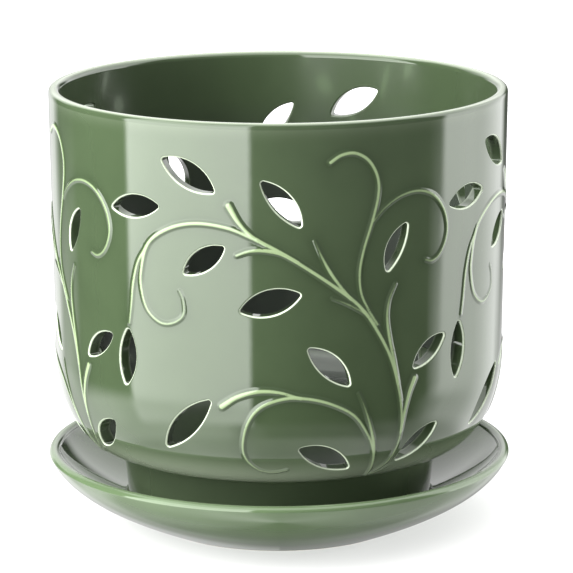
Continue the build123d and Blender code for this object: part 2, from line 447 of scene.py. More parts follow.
@dataclass
class VineRelief:
    """The raised vine as a height over the wall, and the points that its mesh needs."""

    repeats: int
    wall: WallLine
    shoulder_height: float
    patterned_height: float
    half_width: float = 1.70
    height: float = 0.37
    sample_step: float = 0.45
    curve_steps: int = 24
    fine_share: float = 0.35
    blend_power: float = 5.0
    least_rise: float = 1e-6
    flat_rise: float = 1e-5
    pool_width: float = 1.6
    merge_step: float = 0.3
    end_turns: tuple[float, ...] = (-72, -48, -24, 0, 24, 48, 72)
    lines: dict[str, tuple[Array, Array, Array]] = field(default_factory=dict)

    def __post_init__(self) -> None:
        """Draw each stem's middle line, as places across and up the unrolled wall."""
        for name, run in VINE_SHARES.items():
            angles, shares = np.array(run.places).T
            across = np.radians(angles) * self.wall.belly_radius
            along = self.wall.length_at(self.shoulder_height + shares * self.patterned_height)
            middle = self.smooth_line(np.stack((across, along), axis=1))
            part_way = np.linspace(0, 1, len(middle))
            bulk = np.interp(part_way, (0, 0.5, 1), run.widths)
            heading = unit(np.gradient(middle, axis=0))
            self.lines[name] = (middle, bulk, heading)

    def smooth_line(self, knots: Array) -> Array:
        """Run a smooth curve through the knots, sampled at even steps.

        Args:
            knots: Places that the curve goes through.

        Returns:
            Close points along the curve.
        """
        ends = np.concatenate(([2 * knots[0] - knots[1]], knots, [2 * knots[-1] - knots[-2]]))
        share = np.linspace(0, 1, self.curve_steps, endpoint=False)[:, None]
        pieces = []
        for a, b, c, d in zip(ends, ends[1:], ends[2:], ends[3:]):
            pieces.append(0.5 * (
                2 * b + (c - a) * share + (2 * a - 5 * b + 4 * c - d) * share ** 2
                + (3 * b - a - 3 * c + d) * share ** 3))
        dense = np.concatenate(pieces + [knots[-1:]])
        length = np.concatenate(([0], np.cumsum(np.linalg.norm(np.diff(dense, axis=0), axis=1))))
        even = np.linspace(0, length[-1], max(4, int(length[-1] / self.sample_step)))
        return np.stack([np.interp(even, length, dense[:, axis]) for axis in (0, 1)], axis=1)

    def reach(self, bulk: Array) -> Array:
        """Half a stem's width, from its width shares."""
        return self.half_width * (self.fine_share + (1 - self.fine_share) * bulk)

    def measure(self, angle: Array, length: Array) -> tuple[Array, Array, Array, Array]:
        """Measure the relief at places on the wall.

        Args:
            angle: Angles from the front, in radians.
            length: Lengths up the wall's line.

        Returns:
            Its height, its slope across and up, and how deeply glaze pools beside it.
        """
        sector = 2 * math.pi / self.repeats
        radius = self.wall.belly_radius
        total = np.zeros(len(angle))
        slope = np.zeros((len(angle), 2))
        nearest = np.full(len(angle), FAR)
        margin = 2 * self.half_width + 3 * self.pool_width
        for middle, bulk, _ in self.lines.values():
            centre = (middle[:, 0].min() + middle[:, 0].max()) / 2 / radius
            wrapped = (angle - centre + sector / 2) % sector - sector / 2 + centre
            spot = np.stack((wrapped * radius, length), axis=1)
            low, high = middle.min(axis=0) - margin, middle.max(axis=0) + margin
            chosen = np.flatnonzero(((spot > low) & (spot < high)).all(axis=1))
            if not len(chosen):
                continue
            start, step = middle[:-1], np.diff(middle, axis=0)
            apart = spot[chosen, None, :] - start
            share = np.clip((apart * step).sum(axis=2) / (step ** 2).sum(axis=1), 0, 1)
            away = apart - share[:, :, None] * step
            distance = np.linalg.norm(away, axis=2)
            closest = distance.argmin(axis=1)
            rows = np.arange(len(chosen))
            gap = distance[rows, closest]
            away = away[rows, closest] / np.maximum(gap, TINY)[:, None]
            width = np.interp(closest + share[rows, closest], np.arange(len(bulk)), bulk)
            reach = self.reach(width)
            rise = self.height * np.sqrt(width)
            ratio = np.clip(gap / reach, 0, 1)
            bump = rise * (1 - ratio ** 2) ** 2
            fall = -4 * rise * ratio * (1 - ratio ** 2) / reach
            weight = np.maximum(bump, self.least_rise) ** (self.blend_power - 1)
            total[chosen] += np.maximum(bump, 0) ** self.blend_power
            slope[chosen] += (weight * fall)[:, None] * away
            nearest[chosen] = np.minimum(nearest[chosen], gap - reach)
        height = total ** (1 / self.blend_power)
        slope = slope / np.maximum(height, self.least_rise)[:, None] ** (self.blend_power - 1)
        slope[height < self.flat_rise] = 0
        pool = np.exp(-np.clip(nearest, 0, None) / self.pool_width)
        return height, slope[:, 0], slope[:, 1], pool * (1 - np.clip(height / self.height, 0, 1))

    def mesh_points(self, across_shares: tuple[float, ...], spacing: float) -> Array:
        """List points that follow the stems of every repeat, thinned where stems meet.

        Args:
            across_shares: Places across a stem, as shares of its half width.
            spacing: Step along a stem.

        Returns:
            Rows of angle and length up the wall.
        """
        rows = []
        for middle, bulk, heading in self.lines.values():
            every = max(1, round(spacing / self.sample_step))
            chosen = np.arange(0, len(middle), every)
            aside = np.stack((-heading[:, 1], heading[:, 0]), axis=1)
            reach = self.reach(bulk)
            for share in across_shares:
                rows.append(middle[chosen] + share * reach[chosen, None] * aside[chosen])
            for end, outward in ((0, -1), (-1, 1)):
                for share in {abs(share) for share in across_shares} - {0}:
                    for lean in np.radians(self.end_turns):
                        way = math.cos(lean) * outward * heading[end] + math.sin(lean) * aside[end]
                        rows.append((middle[end] + share * reach[end] * way)[None])
        places = np.concatenate(rows)
        cells = np.round(places / self.merge_step).astype(int)
        _, kept = np.unique(cells, axis=0, return_index=True)
        places = places[np.sort(kept)]
        angles = places[:, 0] / self.wall.belly_radius
        turns = 2 * math.pi * np.arange(self.repeats) / self.repeats
        return np.concatenate([np.stack((angles + turn, places[:, 1]), axis=1) for turn in turns])


@dataclass
class SlotRing:
    """The rings of points that round one leaf slot, from its side lines."""

    slot: LeafSlot
    belly_radius: float
    shoulder_height: float
    patterned_height: float
    tip_round: float
    side_points: int = 22
    tip_points: int = 9

    def __post_init__(self) -> None:
        """Work out the two discs whose shared part is the leaf, drawn in by the tip's rounding."""
        slot = self.slot
        half = self.belly_radius * math.sin(math.radians(slot.end_angle - slot.start_angle) / 2)
        self.middle_angle = math.radians(slot.start_angle + slot.end_angle) / 2
        start = np.array((-half, self.shoulder_height + slot.start_share * self.patterned_height))
        end = np.array((half, self.shoulder_height + slot.end_share * self.patterned_height))
        length = float(np.linalg.norm(end - start))
        self.along = (end - start) / length
        self.aside = np.array((-self.along[1], self.along[0]))
        self.centre = (start + end) / 2
        self.discs = []
        for side, bow_share in ((1, slot.bow_share), (-1, slot.other_bow_share)):
            bow = bow_share * length
            disc = (length ** 2 / 4 + bow ** 2) / (2 * bow)
            self.discs.append((self.centre - side * self.aside * (disc - bow), disc))

    def outline(self, grow: float) -> tuple[Array, Array]:
        """Draw the slot's outline, grown outwards by a distance.

        Args:
            grow: Distance beyond the slot's own outline.

        Returns:
            Points across and up on the plane that faces the slot, and their outward directions.
        """
        (upper, upper_size), (lower, lower_size) = self.discs
        upper_size, lower_size = upper_size - self.tip_round, lower_size - self.tip_round
        apart = float((lower - upper) @ self.aside)
        reach = (apart ** 2 + upper_size ** 2 - lower_size ** 2) / (2 * apart)
        half_chord = math.sqrt(upper_size ** 2 - reach ** 2)
        upper_turn = math.atan2(half_chord, reach)
        lower_turn = math.atan2(half_chord, apart - reach)
        tip = upper + self.aside * reach
        turns = [
            np.linspace(-upper_turn, upper_turn, self.side_points),
            np.linspace(upper_turn, math.pi - lower_turn, self.tip_points)[1:-1],
            np.linspace(math.pi - lower_turn, math.pi + lower_turn, self.side_points),
            np.linspace(math.pi + lower_turn, 2 * math.pi - upper_turn, self.tip_points)[1:-1],
        ]
        outwards = [
            self.aside * np.cos(turn)[:, None] + self.along * np.sin(turn)[:, None] for turn in turns]
        cores = [
            upper + upper_size * outwards[0],
            np.broadcast_to(tip + self.along * half_chord, outwards[1].shape),
            lower + lower_size * outwards[2],
            np.broadcast_to(tip - self.along * half_chord, outwards[3].shape),
        ]
        direction = np.concatenate(outwards)
        return np.concatenate(cores) + (self.tip_round + grow) * direction, direction

    def covers(self, angle: Array, height: Array, grow: float) -> Array:
        """Tell which places on the wall lie in the slot or within a distance of it.

        Args:
            angle: Angles from the front, in radians.
            height: Heights above the table.
            grow: The distance.

        Returns:
            True where a place is covered.
        """
        turn = (angle - self.middle_angle + math.pi) % (2 * math.pi) - math.pi
        spot = np.stack((self.belly_radius * np.sin(turn), height), axis=1)
        inside = np.cos(turn) > 0
        for centre, size in self.discs:
            inside &= np.linalg.norm(spot - centre, axis=1) < size + grow
        return inside


@dataclass
class OrchidPot:
    """The glazed pot: a pierced wall with a raised vine, a rounded lip and a hollow foot."""

    overall_height: float
    rim_radius: float
    seat_height: float
    rim_thickness: float = 4.4
    lip_squareness: float = 3.2
    wall_thickness: float = 5.0
    wall_draft: float = 1.2
    belly_inset: float = 19.1
    belly_height: float = 34.0
    foot_height: float = 20.0
    foot_setback: float = 4.7
    foot_taper: float = 2.0
    foot_wall: float = 6.5
    foot_cove: float = 3.0
    foot_edge_round: float = 1.0
    floor_thickness: float = 5.5
    drain_radius: float = 10.0
    drain_edge_round: float = 1.0
    motif_repeats: int = 4
    leaf_tip_round: float = 0.8
    slot_edge_round: float = 0.8
    slot_edge_turn: float = 18.0
    slot_edge_thinning_and_highlight: tuple[float, ...] = (0.0, 0.35, 0.9, 1.0, 0.55, 0.1)
    slot_inner_round: float = 0.6
    slot_inner_turn: float = 30.0
    slot_inner_steps: int = 4
    slot_inner_mark: float = 0.35
    least_facing: float = 0.3
    shoulder_painted_light: float = 0.58
    shoulder_light_reach: float = 20.0
    brow_painted_light: float = 0.30
    brow_light_reach: float = 14.0
    foot_painted_light: float = 0.24
    lip_thinning_and_highlight: float = 0.55
    shade_top: float = 142.0
    shade_reach: float = 40.0
    ring_points: int = 240
    lip_points: int = 25
    wall_grid: float = 2.4
    inner_grid: float = 3.6
    stem_shares: tuple[float, ...] = (0, 0.22, -0.22, 0.46, -0.46, 0.72, -0.72, 1, -1)
    beside_shares: tuple[float, ...] = (1.7, -1.7)
    stem_step: float = 0.9
    stem_clearance: float = 0.25
    stem_gap_share: float = 0.55
    beside_gap_share: float = 0.3
    end_margin: float = 0.4

    def __post_init__(self) -> None:
        """Work out the places that follow from the sizes."""
        self.shoulder_height = self.seat_height + self.foot_height
        self.belly_top = self.shoulder_height + self.belly_height
        self.patterned_height = self.overall_height - self.shoulder_height
        self.belly_radius = self.rim_radius - self.wall_draft
        self.shoulder_radius = self.belly_radius - self.belly_inset
        self.foot_radius = self.shoulder_radius - self.foot_setback - self.foot_taper
        self.floor_height = self.shoulder_height + self.floor_thickness
        self.lip_height = self.overall_height - self.rim_thickness / 2
        self.outside = WallLine(
            self.shoulder_radius, self.shoulder_height, self.belly_radius, self.belly_top,
            self.rim_radius, self.lip_height)
        self.inside = WallLine(
            self.shoulder_radius, self.floor_height, self.belly_radius - self.wall_thickness,
            self.belly_top, self.rim_radius - self.rim_thickness, self.lip_height, outward=-1)
        self.relief = VineRelief(
            self.motif_repeats, self.outside, self.shoulder_height, self.patterned_height)
        quarter = 360 / self.motif_repeats
        self.slots = [
            SlotRing(
                slot.turned(quarter * repeat), self.belly_radius, self.shoulder_height,
                self.patterned_height, self.leaf_tip_round)
            for slot in LEAF_SLOT_SHARES for repeat in range(self.motif_repeats)]
        self.turns = np.arange(self.ring_points) * 2 * math.pi / self.ring_points

    def skin_point(
            self, angle: Array, length: Array, share: float = 1.0) -> tuple[Array, Array, Array]:
        """Find the outer wall's points with the vine raised on them.

        Args:
            angle: Angles from the front, in radians.
            length: Lengths up the outer wall's line.
            share: How much of the vine's height is kept.

        Returns:
            Points, normals and glaze marks.
        """
        point, normal = self.outside.place(angle, length)
        height, across_slope, up_slope, pool = self.relief.measure(angle, length)
        across = np.stack((np.cos(angle), np.sin(angle), np.zeros_like(angle)), axis=1)
        upward = np.cross(normal, across)
        raised = point + share * height[:, None] * normal
        leaned = normal - share * (across_slope[:, None] * across + up_slope[:, None] * upward)
        crest = np.clip(height / self.relief.height, 0, 1)
        # Painted light: the wall is paled above the shoulder, a painted reflection of the saucer's
        # inside, and near the top, painted light falling from above.
        low = (self.shoulder_height + self.shoulder_light_reach - point[:, 2]) / self.shoulder_light_reach
        high = (point[:, 2] - self.overall_height + self.brow_light_reach) / self.brow_light_reach
        thin_and_painted_light = np.maximum(
            self.shoulder_painted_light * np.clip(low, 0, 1), self.brow_painted_light * np.clip(high, 0, 1))
        return raised, unit(leaned), np.stack(
            (crest * share, thin_and_painted_light, pool, np.zeros_like(crest)), axis=1)

    def inner_point(self, places: Array) -> tuple[Array, Array, Array]:
        """Find the inner wall's points, with painted shade that darkens the glaze lower down.

        Args:
            places: Rows of angle and length up the inner wall's line.

        Returns:
            Points, normals and glaze marks.
        """
        points, normals = self.inside.place(places[:, 0], places[:, 1])
        marks = np.zeros((len(places), 4))
        marks[:, 2] = np.clip((self.shade_top - points[:, 2]) / self.shade_reach, 0, 1)
        marks[:, 3] = 1
        return points, normals, marks

    def stitch(
            self, book: SurfaceBook, numbers: Array, places: Array, rings: list[Array]) -> None:
        """Fill a side of the wall with triangles between its rings.

        The wall is laid out flat as a disc with a hole, so that it has no seam.

        Args:
            book: Where the triangles go.
            numbers: Point numbers in the book.
            places: Their angles and lengths up the wall.
            rings: Rows of places in numbers, the bottom ring first, then the top ring and slots.
        """
        spread = np.exp(places[:, 1] / self.belly_radius)
        flat = np.stack((spread * np.sin(places[:, 0]), -spread * np.cos(places[:, 0])), axis=1)
        edges = [pair for ring in rings for pair in zip(ring.tolist(), np.roll(ring, -1).tolist())]
        vertices, _, faces, originals, _, _ = delaunay_2d_cdt(
            [Vector(spot) for spot in flat], edges, [], 0, FLAT_MERGE)
        first = np.array([sources[0] for sources in originals])
        triangles = first[np.array(faces)]
        owner = np.full(len(places), -1)
        for ring_number, ring in enumerate(rings):
            if ring_number != 1:
                owner[ring] = ring_number
        owners = owner[triangles]
        filled = (owners[:, 0] >= 0) & (owners == owners[:, :1]).all(axis=1)
        book.face(numbers[triangles[~filled]])

    def grid_places(self, wall: WallLine, spacing: float) -> Array:
        """Spread places evenly over a wall.

        Args:
            wall: The side of the wall.
            spacing: Distance between them.

        Returns:
            Rows of angle and length up the wall.
        """
        total = wall.track()[0][-1]
        rows = round(total / (spacing * math.sqrt(3) / 2))
        around_count = round(2 * math.pi * wall.belly_radius / spacing)
        places = []
        for row in range(1, rows):
            angles = (np.arange(around_count) + 0.5 * (row % 2)) * 2 * math.pi / around_count
            places.append(np.stack((angles, np.full(around_count, total * row / rows)), axis=1))
        return np.concatenate(places)

    def clear_of_slots(self, wall: WallLine, places: Array, grow: float) -> Array:
        """Keep only the places that lie clear of every slot.

        Args:
            wall: The side of the wall.
            places: Rows of angle and length up the wall.
            grow: Distance that they keep from a slot.

        Returns:
            The rows that are kept.
        """
        lengths, _, heights = wall.track()
        height = np.interp(places[:, 1], lengths, heights)
        kept = np.ones(len(places), dtype=bool)
        for slot in self.slots:
            kept &= ~slot.covers(places[:, 0], height, grow)
        return places[kept]

    def slot_places(self, slot: SlotRing, wall: WallLine, grow: float) -> tuple[Array, Array]:
        """Lay a slot's outline on one side of the wall.

        Args:
            slot: The slot.
            wall: The side of the wall.
            grow: Distance beyond the slot's outline.

        Returns:
            Rows of angle and length up the wall, and the outline's outward directions in space.
        """
        spots, direction = slot.outline(grow)
        angle = slot.middle_angle + np.arcsin(spots[:, 0] / wall.radius(spots[:, 1]))
        turn = slot.middle_angle
        sideways = np.array((math.cos(turn), math.sin(turn), 0))
        upright = np.array((0, 0, 1))
        outward = direction[:, :1] * sideways + direction[:, 1:] * upright
        return np.stack((angle, wall.length_at(spots[:, 1])), axis=1), outward

    def pierce(self, book: SurfaceBook, slot: SlotRing) -> tuple[Array, Array, Array, Array]:
        """Make one slot's rounded edges and its side, from outside to inside.

        Args:
            book: Where the points and triangles go.
            slot: The slot.

        Returns:
            Point numbers and places of the outermost ring on the outside, then on the inside.
        """
        turn = slot.middle_angle
        facing = np.array((math.sin(turn), -math.cos(turn), 0))
        rings, places_of = [], []
        # Each rounded edge ring is paled: thinner glaze, with a painted highlight.
        for step, mark in enumerate(self.slot_edge_thinning_and_highlight):
            lean = math.radians(self.slot_edge_turn * step)
            grow = self.slot_edge_round * (1 - math.sin(lean))
            depth = self.slot_edge_round * (1 - math.cos(lean))
            places, outward = self.slot_places(slot, self.outside, grow)
            point, normal, marks = self.skin_point(places[:, 0], places[:, 1], math.cos(lean) ** 2)
            _, plain = self.outside.place(places[:, 0], places[:, 1])
            point = point - facing * (depth / (plain @ facing))[:, None]
            normal = normal * math.cos(lean) - outward * math.sin(lean)
            marks[:, 1] = np.maximum(marks[:, 1], mark)
            rings.append(book.add(point, normal, marks))
            places_of.append(places)
        outer_point, side_normal = point, normal
        inner_rings = []
        for step in range(self.slot_inner_steps):
            lean = math.radians(90 - self.slot_inner_turn * step)
            grow = self.slot_inner_round * (1 - math.sin(lean))
            depth = self.slot_inner_round * (1 - math.cos(lean))
            places, outward = self.slot_places(slot, self.inside, grow)
            point, normal, marks = self.inner_point(places)
            away = np.maximum(-(normal @ facing), self.least_facing)
            point = point + facing * (depth / away)[:, None]
            normal = normal * math.cos(lean) - outward * math.sin(lean)
            marks[:, 1] = self.slot_inner_mark * math.sin(lean)
            marks[:, 3] = 1 - math.sin(lean)
            inner_rings.append((point, normal, marks))
            places_of.append(places)
        middle = (outer_point + inner_rings[0][0]) / 2
        rings.append(book.add(middle, side_normal))
        rings.extend(book.add(*ring) for ring in inner_rings)
        for first, second in zip(rings, rings[1:]):
            book.band(first, second)
        return rings[0], places_of[0], rings[-1], places_of[-1]

    def lip_profile(self) -> tuple[Array, Array]:
        """Draw the lip, a little flatter than a full round, from the outer to the inner wall.

        Returns:
            Radius and height along the profile, and its outward normals.
        """
        turn = np.linspace(0, math.pi, self.lip_points)
        half = self.rim_thickness / 2
        middle = self.rim_radius - half
        circle = np.stack((np.cos(turn), np.sin(turn)), axis=1)
        circle[np.abs(circle) < TINY] = 0
        power = np.where(turn < math.pi / 2, 2 / self.lip_squareness, 1.0)[:, None]
        spots = np.sign(circle) * np.abs(circle) ** power
        leans = np.sign(circle) * np.abs(circle) ** (2 - power)
        return np.array((middle, self.lip_height)) + half * spots, unit(leans)

    def foot_profile(self) -> tuple[Array, Array]:
        """Draw the floor, drain hole, underside and foot, from the inner wall to the shoulder.

        Returns:
            Radius and height along the profile, and its outward normals.
        """
        base, bottom = self.foot_radius, self.seat_height
        top = base + self.foot_taper
        edge, drain = self.foot_edge_round, self.drain_edge_round
        return rounded_profile([
            RoundedCorner(self.shoulder_radius, self.floor_height, 0),
            RoundedCorner(self.drain_radius, self.floor_height, drain),
            RoundedCorner(self.drain_radius, self.shoulder_height, drain),
            RoundedCorner(top - self.foot_wall, self.shoulder_height, edge),
            RoundedCorner(base - self.foot_wall, bottom, edge),
            RoundedCorner(base, bottom, edge),
            RoundedCorner(top, self.shoulder_height, self.foot_cove),
            RoundedCorner(self.shoulder_radius, self.shoulder_height, 0)])

    def build(self, materials: list[bpy.types.Material]) -> bpy.types.Object:
        """Make the whole pot as one closed mesh.

        Args:
            materials: The glaze and the bare clay.

        Returns:
            The pot.
        """
        book = SurfaceBook()
        pierced = [self.pierce(book, slot) for slot in self.slots]
        skins = (
            (self.outside, self.outer_filling(), 0),
            (self.inside, self.clear_of_slots(
                self.inside, self.grid_places(self.inside, self.inner_grid), self.inner_grid / 2), 2))
        bounds = []
        for wall, filling, side in skins:
            ends = [
                np.stack((self.turns, np.full(len(self.turns), length)), axis=1)
                for length in (0, wall.track()[0][-1])]
            loose = np.concatenate(ends + [filling])
            skin = self.inner_point(loose) if side else self.skin_point(loose[:, 0], loose[:, 1])
            loose_numbers = book.add(*skin)
            numbers = np.concatenate([loose_numbers] + [slot[side] for slot in pierced])
            places = np.concatenate([loose] + [slot[side + 1] for slot in pierced])
            count = len(self.turns)
            rings = [np.arange(count), np.arange(count, 2 * count)]
            offset = len(loose)
            for slot in pierced:
                rings.append(np.arange(offset, offset + len(slot[side])))
                offset += len(slot[side])
            self.stitch(book, numbers, places, rings)
            bounds.append((numbers[:count], numbers[count:2 * count]))
        (outer_low, outer_top), (inner_low, inner_top) = bounds
        lip = self.lip_profile()
        # The lip is paled: thinner glaze over its round, with a painted highlight.
        lip_marks = self.lip_thinning_and_highlight * np.sin(np.linspace(0, math.pi, len(lip[0]))) ** 2
        book.revolve(self.turns, *lip, lip_marks, first_ring=outer_top, last_ring=inner_top)
        foot = self.foot_profile()
        # Painted light: the floor, drain, underside and foot are paled, standing in for light thrown up
        # by the saucer.
        book.revolve(
            self.turns, *foot, np.full(len(foot[0]), self.foot_painted_light),
            bare_below=self.seat_height + self.foot_edge_round / 2,
            first_ring=inner_low, last_ring=outer_low)
        pot = book.make_object("orchid_pot_glazed", materials)
        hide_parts("orchid_pot")
        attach(pot, "pot")
        log.info("orchid_pot_glazed: %d triangles", len(pot.data.polygons))
        return pot

    def outer_filling(self) -> Array:
        """List the outer wall's places: close ones along the stems, wide ones elsewhere.

        Returns:
            Rows of angle and length up the wall.
        """
        edge = self.slot_edge_round
        stems = self.relief.mesh_points(self.stem_shares, self.stem_step)
        stems = self.clear_of_slots(self.outside, stems, edge + self.stem_clearance)
        beside = self.relief.mesh_points(self.beside_shares, 2 * self.stem_step)
        beside = self.clear_of_slots(self.outside, beside, edge + self.stem_step)
        plain = self.grid_places(self.outside, self.wall_grid)
        plain = self.clear_of_slots(self.outside, plain, edge + self.wall_grid / 2)
        plain = plain[self.stem_gap(plain) > self.stem_gap_share * self.wall_grid]
        beside = beside[self.stem_gap(beside) > self.beside_gap_share * self.wall_grid]
        total = self.outside.track()[0][-1]
        together = np.concatenate((stems, beside, plain))
        inside = np.abs(together[:, 1] - total / 2) < total / 2 - self.end_margin
        return together[inside]

    def stem_gap(self, places: Array) -> Array:
        """Find how far each place is from the nearest stem's edge."""
        _, _, _, pool = self.relief.measure(places[:, 0], places[:, 1])
        return -self.relief.pool_width * np.log(np.maximum(pool, TINY))


@dataclass
class Saucer:
    """The loose saucer: a shallow dish on a low foot ring."""

    radius: float
    height: float
    pot_foot_radius: float
    lip_thickness: float = 4.0
    floor_thickness: float = 6.0
    foot_depth: float = 4.0
    foot_width: float = 5.0
    foot_inset: float = 7.7
    foot_round: float = 1.0
    foot_rise_share: float = 0.6
    side_start_share: float = 1.5
    seat_clearance: float = 2.0
    lip_thinning_and_highlight: float = 0.24
    lip_points: int = 15
    side_points: int = 41
    ring_points: int = 288
    outside_control_shares: tuple[tuple[float, float], ...] = ((0.60, 0.38), (0.88, 0.64))
    inside_control_shares: tuple[tuple[float, float], ...] = ((0.37, 0.23), (0.81, 0.64))

    def sweep(
            self, start: tuple[float, float], end: tuple[float, float],
            shares: tuple[tuple[float, float], ...]) -> Array:
        """Draw one side of the dish as a cubic curve.

        Args:
            start: Radius and height at its foot.
            end: Radius and height at its lip.
            shares: The two control points, as shares of the way across and up.

        Returns:
            Close points from the foot to the lip.
        """
        first, last = np.array(start), np.array(end)
        controls = [first + (last - first) * np.array(share) for share in shares]
        t = np.linspace(0, 1, self.side_points)[:, None]
        return (
            first * (1 - t) ** 3 + 3 * controls[0] * t * (1 - t) ** 2
            + 3 * controls[1] * t ** 2 * (1 - t) + last * t ** 3)

    def build(self, materials: list[bpy.types.Material]) -> bpy.types.Object:
        """Make the saucer as one closed mesh.

        Args:
            materials: The glaze and the bare clay.

        Returns:
            The saucer.
        """
        seat = self.foot_depth + self.floor_thickness
        foot = self.pot_foot_radius - self.foot_inset
        inner_foot = foot - self.foot_width
        half_lip = self.lip_thickness / 2
        lip_height = self.height - half_lip
        low = rounded_profile([
            RoundedCorner(0, self.foot_depth, 0),
            RoundedCorner(inner_foot, self.foot_depth, self.foot_round),
            RoundedCorner(inner_foot, 0, self.foot_round),
            RoundedCorner(foot, 0, self.foot_round),
            RoundedCorner(foot + self.foot_round, self.foot_round * self.foot_rise_share, 0)])
        outer = self.sweep(
            (foot, 0), (self.radius, lip_height), self.outside_control_shares)
        side_start = foot + self.foot_round * self.side_start_share
        outer = curve_profile(outer[outer[:, 0] > side_start])
        turn = np.linspace(0, math.pi, self.lip_points)[1:-1]
        leans = np.stack((np.cos(turn), np.sin(turn)), axis=1)
        lip = (np.array((self.radius - half_lip, lip_height)) + half_lip * leans, leans)
        inner = self.sweep(
            (self.pot_foot_radius + self.seat_clearance, seat),
            (self.radius - self.lip_thickness, lip_height), self.inside_control_shares)
        inner = curve_profile(inner[::-1])
        spots = np.concatenate((low[0], outer[0], lip[0], inner[0], [(0, seat)]))
        normals = np.concatenate((low[1], outer[1], lip[1], inner[1], [(0, 1)]))
        thinned_and_painted_light = np.zeros(len(spots))
        lip_start = len(low[0]) + len(outer[0])
        # The saucer's lip is paled: thinner glaze over its round, with a painted highlight.
        thinned_and_painted_light[lip_start:lip_start + len(turn)] = self.lip_thinning_and_highlight * np.sin(turn) ** 2
        book = SurfaceBook()
        turns = np.arange(self.ring_points) * 2 * math.pi / self.ring_points
        book.revolve(turns, spots, normals, thinned_and_painted_light, bare_below=self.foot_round / 2)
        saucer = book.make_object("saucer_glazed", materials)
        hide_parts("saucer")
        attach(saucer, "saucer")
        log.info("saucer_glazed: %d triangles", len(saucer.data.polygons))
        return saucer


@dataclass
class NodeSheet:
    """A shader's node tree with short ways to add and join nodes."""

    tree: bpy.types.NodeTree

    def add(self, kind: str, **settings: object) -> bpy.types.Node:
        """Add a node and set its properties and sockets.

        Args:
            kind: The node's type.
            settings: Properties by name, or sockets by name with spaces as underscores.

        Returns:
            The node.
        """
        node = self.tree.nodes.new(kind)
        self.settle(node, **settings)
        return node

    def settle(self, node: bpy.types.Node, **settings: object) -> None:
        """Set a node's properties and sockets.

        Args:
            node: The node.
            settings: Properties by name, or sockets by name with spaces as underscores.
        """
        for name, value in settings.items():
            if hasattr(node, name):
                setattr(node, name, value)
            else:
                node.inputs[name.replace("_", " ")].default_value = value

    def join(self, source: Socket, target: Socket) -> None:
        """Join two sockets."""
        self.tree.links.new(source, target)

    def math(
            self, operation: str, first: object, second: object = None, clamp: bool = False) -> Socket:
        """Add a sum of two values, each a socket or a number.

        Args:
            operation: What to do with them.
            first: The first value.
            second: The second value, where there is one.
            clamp: Whether to cut the result off at 0 and 1.

        Returns:
            The result's socket.
        """
        node = self.tree.nodes.new("ShaderNodeMath")
        node.operation = operation
        node.use_clamp = clamp
        for socket, value in zip(node.inputs, (first, second)):
            if isinstance(value, Socket):
                self.join(value, socket)
            elif value is not None:
                socket.default_value = value
        return node.outputs[0]

    def blend(self, share: Socket, first: object, second: object) -> Socket:
        """Mix two colours by a share.

        Args:
            share: How much of the second colour there is.
            first: The first colour, a socket or red, green and blue.
            second: The second colour.

        Returns:
            The mixed colour's socket.
        """
        node = self.tree.nodes.new("ShaderNodeMix")
        node.data_type = "RGBA"
        self.join(share, node.inputs["Factor"])
        for socket, value in ((node.inputs[6], first), (node.inputs[7], second)):
            if isinstance(value, Socket):
                self.join(value, socket)
            else:
                socket.default_value = (*value, 1)
        return node.outputs[2]

    def profile(self, share: Socket, stops: list[tuple[float, float]]) -> Socket:
        """Look a value up along a line of stops.

        Args:
            share: Where along the line, from 0 to 1.
            stops: Places along the line and the values there, from 0 to 1.

        Returns:
            The value's socket.
        """
        ramp = self.tree.nodes.new("ShaderNodeValToRGB")
        steps = ramp.color_ramp.elements
        while len(steps) < len(stops):
            steps.new(0.5)
        for step, (place, value) in zip(steps, stops):
            step.position = place
            step.color = (value, value, value, 1)
        self.join(share, ramp.inputs["Fac"])
        return ramp.outputs["Color"]

    def ease(self, value: Socket, low: float, high: float) -> Socket:
        """Ease a value from 0 to 1.

        Args:
            value: The value's socket.
            low: Where the result leaves 0.
            high: Where the result reaches 1.

        Returns:
            The result's socket.
        """
        node = self.tree.nodes.new("ShaderNodeMapRange")
        node.interpolation_type = "SMOOTHSTEP"
        self.join(value, node.inputs["Value"])
        node.inputs["From Min"].default_value = low
        node.inputs["From Max"].default_value = high
        return node.outputs["Result"]


def new_material(name: str) -> tuple[bpy.types.Material, NodeSheet, bpy.types.Node]:
    """Make a material with a plain surface shader.

    Args:
        name: Its name.

    Returns:
        The material, its node tree's sheet and its shader.
    """
    material = bpy.data.materials.new(name)
    material.use_nodes = True
    shader = material.node_tree.nodes["Principled BSDF"]
    return material, NodeSheet(material.node_tree), shader


